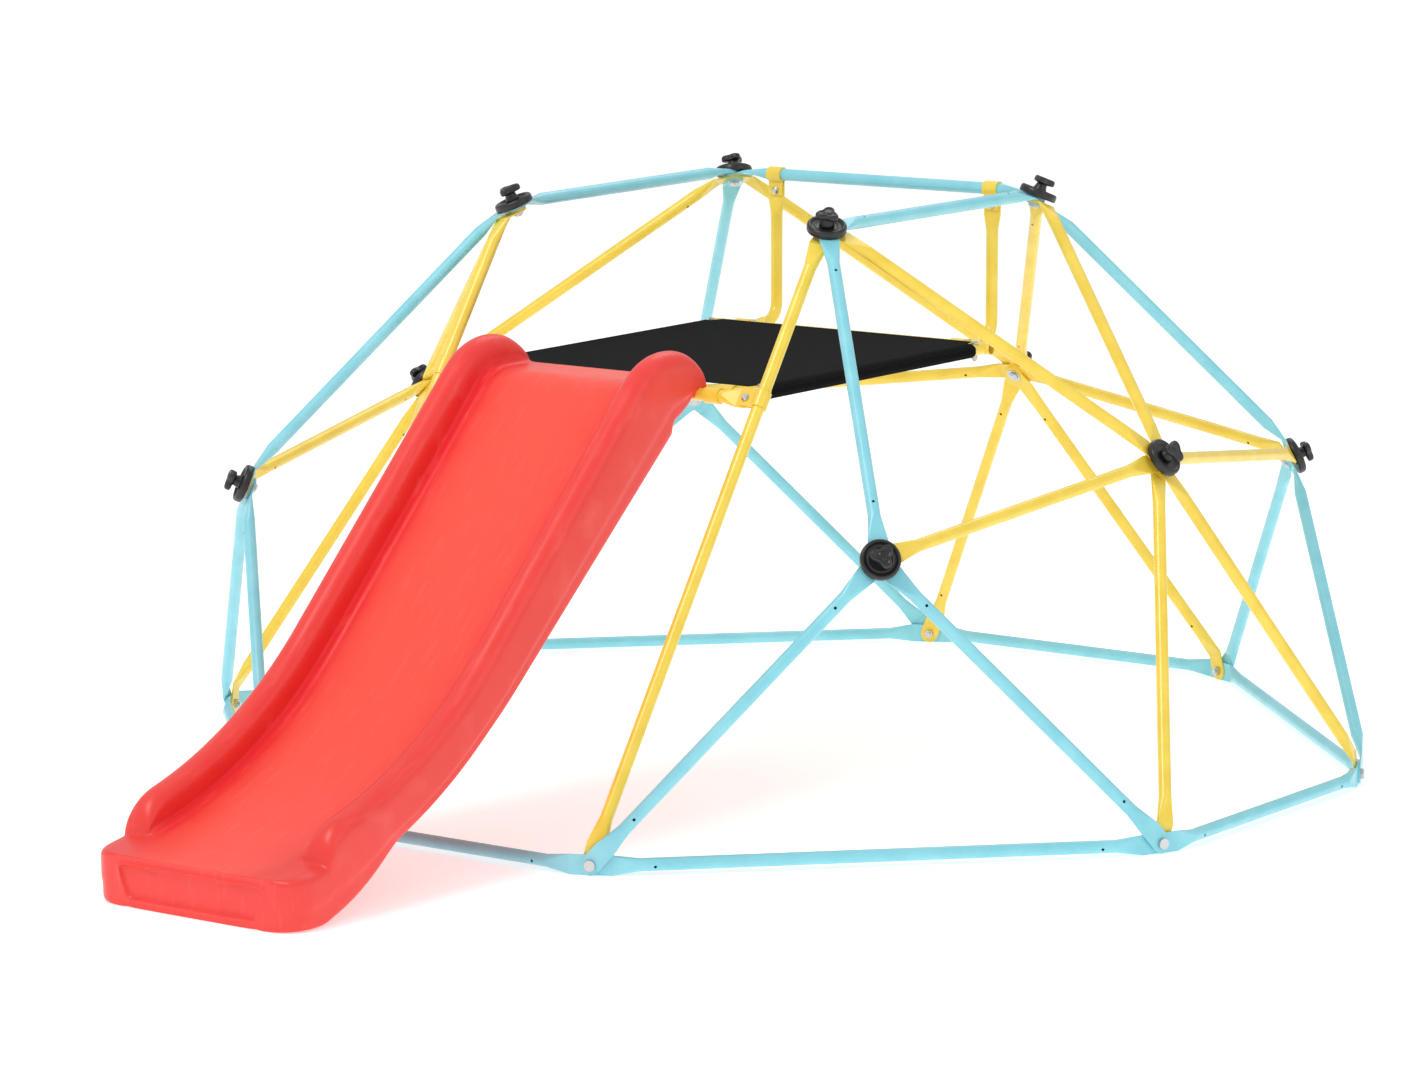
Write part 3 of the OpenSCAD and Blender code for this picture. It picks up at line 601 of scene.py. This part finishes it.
def press_panel(work, front):
    """Replaces the front face by rings of (share across, share up, mm forward) and a last face."""
    ring = list(front.verts)
    heights = [v.co.z for v in ring]
    centre = Vector((0, ring[0].co.y, (max(heights) + min(heights)) / 2))
    outline = [v.co - centre for v in ring]
    half_height = (max(heights) - min(heights)) / 2
    work.faces.remove(front)
    for across, up, out in PANEL_RINGS:
        taper = PANEL_TAPER if out else 0
        inner = []
        for p in outline:
            narrowed = across * (1 + taper * (p.z / half_height - 1))
            inner.append(work.verts.new(centre + Vector((p.x * narrowed, -out * MM, p.z * up))))
        for i in range(len(ring)):
            work.faces.new((ring[i - 1], ring[i], inner[i], inner[i - 1]))
        ring = inner
    work.faces.new(ring)


def finish_ends(piece):
    """Insets the face at the lip, presses the panel into the foot, and smooths the whole slide."""
    work = bmesh.new()
    work.from_mesh(piece.data)
    ends = [f for f in work.faces if len(f.verts) > 20]
    front = min(ends, key=lambda f: f.calc_center_median().y)
    ends.remove(front)
    bmesh.ops.inset_region(work, faces=ends, thickness=3 * MM)
    press_panel(work, front)
    work.to_mesh(piece.data)
    work.free()
    piece.data.shade_smooth()
    smooth = piece.modifiers.new("smooth", "SUBSURF")
    smooth.levels = smooth.render_levels = 1


finish_ends(slide)
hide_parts("slide")
print("slide faces with its panel:", len(slide.data.polygons))

# %% [markdown]
# ## The deck's cloth
# The deck is one sheet of mesh. Each long side is turned round its tube and sewn back to
# the sheet, which makes a sleeve, and the sleeve is a thicker, ribbed weave that grips the tube.
# The sheet is laced tight between the tubes, so it sags only a few millimetres. It is built as one
# grid: across it runs round one tube, over the deck and round the other.

# %% The cloth's path across the deck
tube_left, tube_right = (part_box(f"deck_side_tube_{side}") for side in ("left", "right"))
cloth_low, cloth_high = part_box("deck_cloth")
tube_x = (tube_right[0][0] + tube_right[1][0]) / 2
tube_r = (tube_right[1][0] - tube_right[0][0]) / 2
deck_z = (tube_right[0][2] + tube_right[1][2]) / 2
SLEEVE_GAP = 0.9 * MM
SLEEVE_INSET = 37 * MM
sleeve_r = tube_r + SLEEVE_GAP
sleeve_y = (tube_right[0][1] + SLEEVE_INSET, tube_right[1][1] - SLEEVE_INSET)
sheet_y = (cloth_low[1], cloth_high[1])
SLEEVE_STEPS = 34
SHEET_STEPS = 36
WRAP = math.radians(292)


def half_path():
    """Points (x, z, share round the sleeve) from the middle of the deck to the sewn edge."""
    path = [(tube_x * i / SHEET_STEPS, sleeve_r, 0) for i in range(SHEET_STEPS)]
    for i in range(SLEEVE_STEPS + 1):
        a = WRAP * i / SLEEVE_STEPS
        share = (i + 0.5) / SLEEVE_STEPS
        path.append((tube_x + sleeve_r * math.sin(a), sleeve_r * math.cos(a), share))
    path.append((tube_x - 1.45 * sleeve_r, sleeve_r - 1.7 * MM, 1))
    path.append((tube_x - 2.1 * sleeve_r, sleeve_r - 1.5 * MM, 1))
    return path


cloth_half = half_path()
half_width = sum(math.dist(a[:2], b[:2]) for a, b in zip(cloth_half, cloth_half[1:]))
print(f"tube r {tube_r * 1000:.1f} mm, cloth is cut {2000 * half_width:.0f} mm wide")

# %% Weave the sheet
RIB_PITCH = 7 * MM
RIB_RISE = 0.45 * MM
RIB_SLANT = 0.6 * 66 * MM
RIPPLE = 0.9 * MM
SLEEVE_REACH = 1.3 * sleeve_r
ROW_STEP = 1.75 * MM
SAG = 5 * MM
CLOTH = 1.1 * MM


def cloth_point(x, z, share, along, side):
    """One point of the cloth; share is 0 on the open deck and above 0 in a sleeve."""
    ends = sleeve_y if share > 0 or abs(x) > tube_x - SLEEVE_REACH else sheet_y
    y = ends[0] + (ends[1] - ends[0]) * along
    if share > 0:
        phase = 2 * math.pi * (y + RIB_SLANT * share) / RIB_PITCH
        swell = 1 + RIB_RISE * math.sin(phase) / sleeve_r if share < 1 else 1
        return side * (tube_x + (x - tube_x) * swell), y, deck_z + z * swell
    spread = (1 - (x / tube_x) ** 2) * math.sin(math.pi * along) ** 0.5
    ripple = RIPPLE * noise.noise(Vector((side * x * 9, y * 5, 0.3))) * spread
    return side * x, y, deck_z + z - SAG * spread + ripple


def build_cloth():
    rows = int((sheet_y[1] - sheet_y[0]) / ROW_STEP)
    path = [(x, z, share, -1) for x, z, share in reversed(cloth_half[1:])]
    path += [(x, z, share, 1) for x, z, share in cloth_half]
    points = [
        cloth_point(x, z, share, r / (rows - 1), side)
        for r in range(rows) for x, z, share, side in path
    ]
    faces = grid_faces(rows, len(path), False)
    cloth = new_piece("deck_sheet", points, faces, mesh_cloth)
    thick = cloth.modifiers.new("thickness", "SOLIDIFY")
    thick.thickness = CLOTH
    thick.offset = 0
    return cloth


cloth = build_cloth()
sleeve_width = 2 * (half_width - tube_x + SLEEVE_REACH)
cut_area = (2 * half_width - sleeve_width) * (sheet_y[1] - sheet_y[0])
cut_area += sleeve_width * (sleeve_y[1] - sleeve_y[0])
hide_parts("deck_cloth")
print("cloth:", len(cloth.data.vertices), "points, cut area", round(cut_area, 4), "square metres")

# %% [markdown]
# ## Hubs and knobs
# Each hub is a moulded disc over the stack of flat tube ends, with a hand knob that screws down
# on it. The disc is a turned shape: a rounded rim, a dish and one low ring. The knob is turned
# too, but its radius swells three times round, which makes the lobes that fingers grip; the
# swelling fades out towards the stem. All sizes are in millimetres from the knob's joint.

# %% Profiles of the disc and the knob
LOBE_PHASE = Vector((0.3, 0.2, -1))
LOBE_CUT = 0.2
DISC_PROFILE = [
    (4.2, -21.8), (28.4, -21.8), (29.6, -21.2), (30, -20), (30, -14.8), (29.6, -12.4),
    (28.4, -10.6), (26.8, -9.8), (25.2, -9.9), (24, -10.8), (23.2, -12.6), (22, -13.3),
    (19, -13.3), (18.2, -12.7), (17, -12.7), (16.2, -13.3), (12.4, -13.4), (4.2, -13.4),
]
KNOB_PROFILE = [
    (3, -13, 0), (10.6, -13, 0), (11.4, -12.4, 0), (10.8, -9, 0), (9, -5, 0), (8.4, -2, 0),
    (8.8, -0.6, 0.3), (13, 0, 0.8), (17.4, 0.5, 1), (18.8, 1.8, 1), (19, 4, 1), (18.9, 6.4, 1),
    (18.2, 8.4, 1), (16.8, 9.6, 1), (15, 10, 1), (13.4, 9.8, 1), (12.6, 9, 1), (10, 8.8, 0.8),
    (6.6, 8.8, 0.3), (6, 9.6, 0), (4.8, 10, 0), (2, 10.1, 0),
]
ROUND = 72


def hub_frame(joint):
    """Three axes of a hub: two across it, and one along its bolt."""
    out = Vector(joint["axis"]).normalized()
    first = (LOBE_PHASE - LOBE_PHASE.dot(out) * out).normalized()
    return first, out.cross(first), out


def turned(joint, profile):
    """Rings of points round a hub for a profile of (radius, height, lobes)."""
    first, second, out = hub_frame(joint)
    centre = Vector(joint["pos_m"])
    points = []
    for radius, height, *lobes in profile:
        lobe = lobes[0] if lobes else 0
        for i in range(ROUND):
            a = 2 * math.pi * i / ROUND
            r = radius * (1 - LOBE_CUT * lobe * (1 - math.cos(3 * a)))
            across = r * math.cos(a) * first + r * math.sin(a) * second
            points.append(centre + MM * (across + height * out))
    return points


hubs = frame["record"]["behaviour"]["joints"]
print("hubs:", len(hubs), "first axis", [round(v, 3) for v in hubs[0]["axis"]])

# %% Mould the knobs
def mould_knob(joint):
    """A knob that turns with its own body."""
    rows = len(KNOB_PROFILE)
    faces = grid_faces(rows, ROUND, True)
    faces.append(tuple(reversed(range(ROUND))))
    faces.append(tuple((rows - 1) * ROUND + i for i in range(ROUND)))
    name = joint["child"]
    points = turned(joint, KNOB_PROFILE)
    knob = new_piece(f"{name}_moulding", points, faces, nylon, name)
    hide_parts(name)
    return knob


knobs = [mould_knob(joint) for joint in hubs]
print("moulded", len(knobs), "knobs of", len(knobs[0].data.vertices), "points")

# %% Mould the discs
def mould_discs():
    """All the hubs' discs as one piece, each a closed ring with a bore for its bolt."""
    points, faces = [], []
    rows = len(DISC_PROFILE)
    for joint in hubs:
        first = len(points)
        points += turned(joint, DISC_PROFILE)
        faces += grid_faces(rows, ROUND, True, first)
        last = first + (rows - 1) * ROUND
        for i in range(ROUND):
            j = (i + 1) % ROUND
            faces.append((first + i, first + j, last + j, last + i))
    discs = new_piece("hub_discs_moulding", points, faces, nylon)
    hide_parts("joint_discs")
    return discs


discs = mould_discs()
print("discs:", len(discs.data.polygons), "faces")

# %% [markdown]
# ## Floor and light
# A plain white floor, which glows a little so that it stays white in the distance, with soft
# studio light: a large key lamp from the front left, a fill from the right, a lamp from behind
# and a pale sky. Every tube keeps a bright side and a darker side.

# %% Floor
FLOOR_REACH = 60


def build_floor():
    mesh = bpy.data.meshes.new("studio_floor")
    corners = [(FLOOR_REACH * x, FLOOR_REACH * y, 0) for x, y in ((-1, -1), (1, -1), (1, 1), (-1, 1))]
    mesh.from_pydata(corners, [], [(0, 1, 2, 3)])
    material, tree, shader, place = new_finish(
        "pale_floor", Roughness=0.85, IOR=1.45, Emission_Color=(1, 1, 1, 1), Emission_Strength=0.42
    )
    speck = add(tree, "ShaderNodeTexNoise", {"Vector": place, "Scale": 3, "Detail": 3})
    colour = blend_colours(tree, speck.outputs[0], "#f7f7f6", "#fbfbfb")
    tree.links.new(colour, shader.inputs["Base Color"])
    mesh.materials.append(material)
    floor = bpy.data.objects.new("studio_floor", mesh)
    bpy.context.scene.collection.objects.link(floor)
    floor.location.z = -0.5 * MM
    return floor


floor = build_floor()
print("floor at", floor.location.z)

# %% Lamps
def soft_lamp(name, side, rise, distance, size, watts):
    """A square lamp aimed at the dome, side degrees round from the camera and rise degrees up."""
    around, above = azimuth + math.radians(side), math.radians(rise)
    away = Vector((
        math.sin(around) * math.cos(above), -math.cos(around) * math.cos(above), math.sin(above)
    ))
    lamp = bpy.data.lights.new(name, "AREA")
    lamp.shape = "SQUARE"
    lamp.size = size
    lamp.energy = watts
    holder = bpy.data.objects.new(name, lamp)
    bpy.context.scene.collection.objects.link(holder)
    holder.location = middle + distance * away
    holder.rotation_euler = away.to_track_quat("Z", "Y").to_euler()


soft_lamp("key_lamp", -45, 50, 5, 1.6, 80)
soft_lamp("fill_lamp", 55, 25, 6, 3, 30)
soft_lamp("back_lamp", 165, 50, 5, 2.5, 30)

world = bpy.data.worlds.new("studio")
world.use_nodes = True
sky = world.node_tree.nodes["Background"]
sky.inputs["Color"].default_value = linear("#fafbfc")
seen = add(world.node_tree, "ShaderNodeLightPath")
strength = add(
    world.node_tree, "ShaderNodeMapRange",
    {"Value": seen.outputs["Is Camera Ray"], "To Min": 0.66, "To Max": 1.02}
)
world.node_tree.links.new(strength.outputs[0], sky.inputs["Strength"])
bpy.context.scene.world = world
bpy.context.scene.view_settings.view_transform = "Standard"
